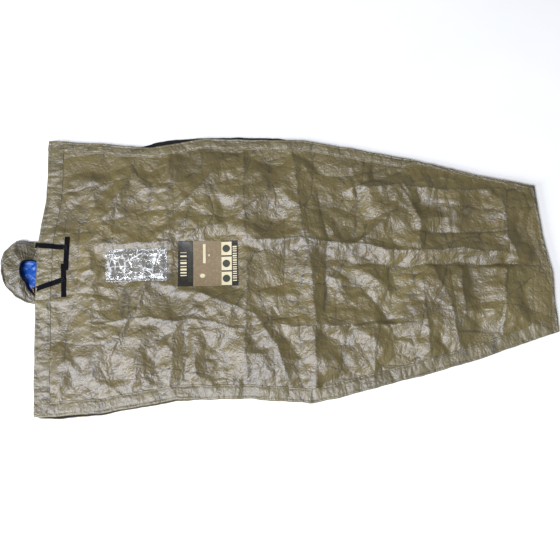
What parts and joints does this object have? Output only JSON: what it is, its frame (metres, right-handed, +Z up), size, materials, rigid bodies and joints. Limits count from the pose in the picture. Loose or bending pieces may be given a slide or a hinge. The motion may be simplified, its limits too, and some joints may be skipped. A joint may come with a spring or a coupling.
{
  "type": "bivy sack",
  "caption": "Insulated bivy sack laid flat, with a hood, a cover that opens along both sides, neck straps, a clear document pocket and a printed label.",
  "frame": {"origin": "middle of the underside, level with the surface that the sack lies on", "axes": "+X towards the foot, +Y towards the wearer's left, +Z up"},
  "size_m": [2.18, 1.1, 0.061],
  "materials": {
    "outer_fabric": "satin coated cloth",
    "hem_fabric": "satin coated cloth",
    "batting": "matt felt",
    "liner_fabric": "glossy coated cloth",
    "touch_fastener": "pile",
    "webbing": "woven tape",
    "binding": "ribbed elastic",
    "clear_film": "clear crinkled film",
    "printed_film": "satin printed film"
  },
  "bodies": {
    "base": {"base_shell": "outer_fabric", "base_insulation": "batting", "base_liner": "liner_fabric", "base_head_hem": "liner_fabric", "side_hook_tape_left": "touch_fastener", "side_hook_tape_right": "touch_fastener", "foot_cover_shell": "outer_fabric", "foot_cover_insulation": "batting", "foot_cover_liner": "liner_fabric", "foot_end_hem": "outer_fabric", "foot_side_hem_left": "outer_fabric", "foot_side_hem_right": "outer_fabric", "foot_seam": "outer_fabric", "yoke_shell": "outer_fabric", "yoke_insulation": "batting", "yoke_liner": "liner_fabric", "neck_gather_left": "outer_fabric", "neck_gather_right": "outer_fabric", "neck_loop_patch_left": "touch_fastener", "neck_loop_patch_right": "touch_fastener"},
    "front_cover": {"front_cover_shell": "outer_fabric", "front_cover_insulation": "batting", "front_cover_liner": "liner_fabric", "head_hem": "hem_fabric", "side_hem_left": "hem_fabric", "side_hem_right": "hem_fabric", "side_loop_tape_left": "touch_fastener", "side_loop_tape_right": "touch_fastener", "anchor_tape_left": "webbing", "anchor_tape_right": "webbing", "pocket_weld": "clear_film", "pocket_window": "clear_film", "label_card": "printed_film"},
    "strap_left": {"strap_left": "webbing", "strap_hook_pad_left": "touch_fastener"},
    "strap_right": {"strap_right": "webbing", "strap_hook_pad_right": "touch_fastener"},
    "hood": {"hood_shell": "outer_fabric", "hood_insulation": "batting", "hood_liner": "liner_fabric", "hood_rim_binding": "binding"}
  },
  "joints": [
    {"name": "cover_fold", "type": "hinge", "parent": "base", "child": "front_cover", "pos_m": [0.1, 0, 0.046], "axis": [0, 1, 0], "range_deg": [0, 179.5]},
    {"name": "hood_fold", "type": "hinge", "parent": "base", "child": "hood", "pos_m": [-0.98, 0, 0.008], "axis": [0, 1, 0], "range_deg": [0, 90]},
    {"name": "strap_left_peel", "type": "hinge", "parent": "front_cover", "child": "strap_left", "pos_m": [-0.834, 0.076, 0.03497], "axis": [0, 1, 0], "range_deg": [0, 179.5]},
    {"name": "strap_right_peel", "type": "hinge", "parent": "front_cover", "child": "strap_right", "pos_m": [-0.842, -0.048, 0.03408], "axis": [0, 1, 0], "range_deg": [0, 179.5]}
  ]
}
